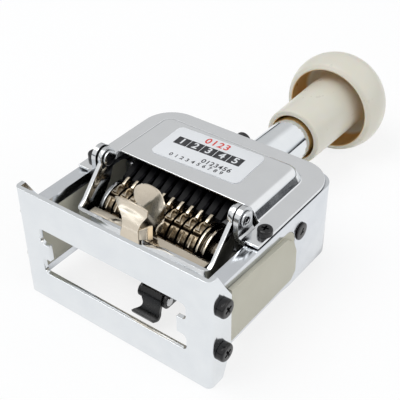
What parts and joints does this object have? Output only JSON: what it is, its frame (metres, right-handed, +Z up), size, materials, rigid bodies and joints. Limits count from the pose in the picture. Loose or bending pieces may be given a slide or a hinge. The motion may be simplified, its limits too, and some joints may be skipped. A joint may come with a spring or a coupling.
{
  "type": "numbering machine",
  "caption": "Hand numbering machine with a push knob, sprung printing head, number wheels, swinging ink pad and a windowed base plate.",
  "frame": {"origin": "middle of the bounding box at its lowest level, on the surface that the machine lies on", "axes": "+Y along the push knob's axis from the base plate to the knob, +Z up to the cover side, +X the width"},
  "size_m": [0.0918, 0.1772, 0.0538],
  "materials": {
    "frame_chrome": "plated die casting",
    "liner_plastic": "moulded",
    "base_chrome": "plated sheet",
    "screw_black": "blackened, glossy",
    "cover_satin": "satin silver",
    "label_white": "printed film",
    "bright_steel": "polished",
    "tube_chrome": "polished tube",
    "bush_brass": "turned",
    "black_steel": "blackened",
    "lever_black": "moulded",
    "arm_chrome": "plated sheet",
    "warm_nickel": "nickel plated sheet",
    "pad_felt": "inked felt",
    "cast_metal": "die cast",
    "comb_black": "blackened",
    "spring_steel": "wound wire",
    "knob_ivory": "moulded",
    "wheel_nickel": "nickel plated, engraved"
  },
  "bodies": {
    "body": {"frame": "frame_chrome", "slot_liner_left": "liner_plastic", "slot_liner_right": "liner_plastic", "base_plate": "base_chrome", "base_screws": "screw_black", "cover": "cover_satin", "cover_screws": "screw_black", "side_screws": "screw_black", "rear_screw": "screw_black", "label_plate": "label_white", "arm_pivot_screws": "bright_steel", "guide_tube": "tube_chrome", "rod_bush": "bush_brass", "lever_bracket": "black_steel", "lever_pin": "bright_steel"},
    "head": {"carriage_yoke": "cast_metal", "carriage_plate_left": "bright_steel", "carriage_plate_right": "bright_steel", "carriage_nuts": "bright_steel", "wheel_shaft": "bright_steel", "wheel_end_ring": "bright_steel", "comb": "comb_black", "pawl_shaft": "bright_steel", "plunger_rod": "bright_steel", "rod_collar": "bright_steel", "return_spring": "spring_steel", "knob": "knob_ivory"},
    "pawl_set": {"pawls": "warm_nickel"},
    "arms": {"ink_arms": "arm_chrome"},
    "pad": {"pad_holder": "warm_nickel", "ink_pad": "pad_felt", "front_finger_tab": "warm_nickel"},
    "rear_tab": {"rear_finger_tab": "warm_nickel"},
    "lever": {"repeat_lever": "lever_black"},
    "wheel_1": {"number_wheel_1": "wheel_nickel"},
    "wheel_2": {"number_wheel_2": "wheel_nickel"},
    "wheel_3": {"number_wheel_3": "wheel_nickel"},
    "wheel_4": {"number_wheel_4": "wheel_nickel"},
    "wheel_5": {"number_wheel_5": "wheel_nickel"},
    "wheel_6": {"number_wheel_6": "wheel_nickel"},
    "wheel_7": {"number_wheel_7": "wheel_nickel"},
    "wheel_8": {"number_wheel_8": "wheel_nickel"},
    "wheel_9": {"number_wheel_9": "wheel_nickel"},
    "wheel_10": {"number_wheel_10": "wheel_nickel"}
  },
  "joints": [
    {"name": "press", "type": "slide", "parent": "body", "child": "head", "axis": [0, -1, 0], "range_m": [0, 0.024], "stiffness_N_per_m": 500, "springref_m": -0.01, "deforming": ["return_spring"]},
    {"name": "arm_swing", "type": "hinge", "parent": "body", "child": "arms", "pos_m": [0, -0.0547, 0.0486], "axis": [1, 0, 0], "range_deg": [-72.5, 0]},
    {"name": "pawl_swing", "type": "hinge", "parent": "head", "child": "pawl_set", "pos_m": [0, -0.0436, 0.0401], "axis": [1, 0, 0], "range_deg": [-6.2, 0]},
    {"name": "pad_lift", "type": "slide", "parent": "arms", "child": "pad", "axis": [0, 0, 1], "range_m": [0, 0.022]},
    {"name": "rear_tab_squeeze", "type": "hinge", "parent": "pad", "child": "rear_tab", "pos_m": [0, -0.0668, 0.0339], "axis": [1, 0, 0], "range_deg": [0, 10], "stiffness_Nm_per_rad": 0.05},
    {"name": "lever_turn", "type": "hinge", "parent": "body", "child": "lever", "pos_m": [0, -0.0721, 0.0117], "axis": [1, 0, 0], "range_deg": [-28, 0]},
    {"name": "wheel_1_turn", "type": "hinge", "parent": "head", "child": "wheel_1", "pos_m": [0.015, -0.0541, 0.0265], "axis": [1, 0, 0], "continuous": true},
    {"name": "wheel_2_turn", "type": "hinge", "parent": "head", "child": "wheel_2", "pos_m": [0.0107, -0.0541, 0.0265], "axis": [1, 0, 0], "continuous": true},
    {"name": "wheel_3_turn", "type": "hinge", "parent": "head", "child": "wheel_3", "pos_m": [0.0064, -0.0541, 0.0265], "axis": [1, 0, 0], "continuous": true},
    {"name": "wheel_4_turn", "type": "hinge", "parent": "head", "child": "wheel_4", "pos_m": [0.0021, -0.0541, 0.0265], "axis": [1, 0, 0], "continuous": true},
    {"name": "wheel_5_turn", "type": "hinge", "parent": "head", "child": "wheel_5", "pos_m": [-0.0022, -0.0541, 0.0265], "axis": [1, 0, 0], "continuous": true},
    {"name": "wheel_6_turn", "type": "hinge", "parent": "head", "child": "wheel_6", "pos_m": [-0.0065, -0.0541, 0.0265], "axis": [1, 0, 0], "continuous": true},
    {"name": "wheel_7_turn", "type": "hinge", "parent": "head", "child": "wheel_7", "pos_m": [-0.0108, -0.0541, 0.0265], "axis": [1, 0, 0], "continuous": true},
    {"name": "wheel_8_turn", "type": "hinge", "parent": "head", "child": "wheel_8", "pos_m": [-0.0151, -0.0541, 0.0265], "axis": [1, 0, 0], "continuous": true},
    {"name": "wheel_9_turn", "type": "hinge", "parent": "head", "child": "wheel_9", "pos_m": [-0.0194, -0.0541, 0.0265], "axis": [1, 0, 0], "continuous": true},
    {"name": "wheel_10_turn", "type": "hinge", "parent": "head", "child": "wheel_10", "pos_m": [-0.0237, -0.0541, 0.0265], "axis": [1, 0, 0], "continuous": true}
  ],
  "couplings": [
    {"joint": "arm_swing", "follows": "press", "rad_per_m": -52.36},
    {"joint": "pawl_swing", "follows": "press", "rad_per_m": -4.3633}
  ]
}
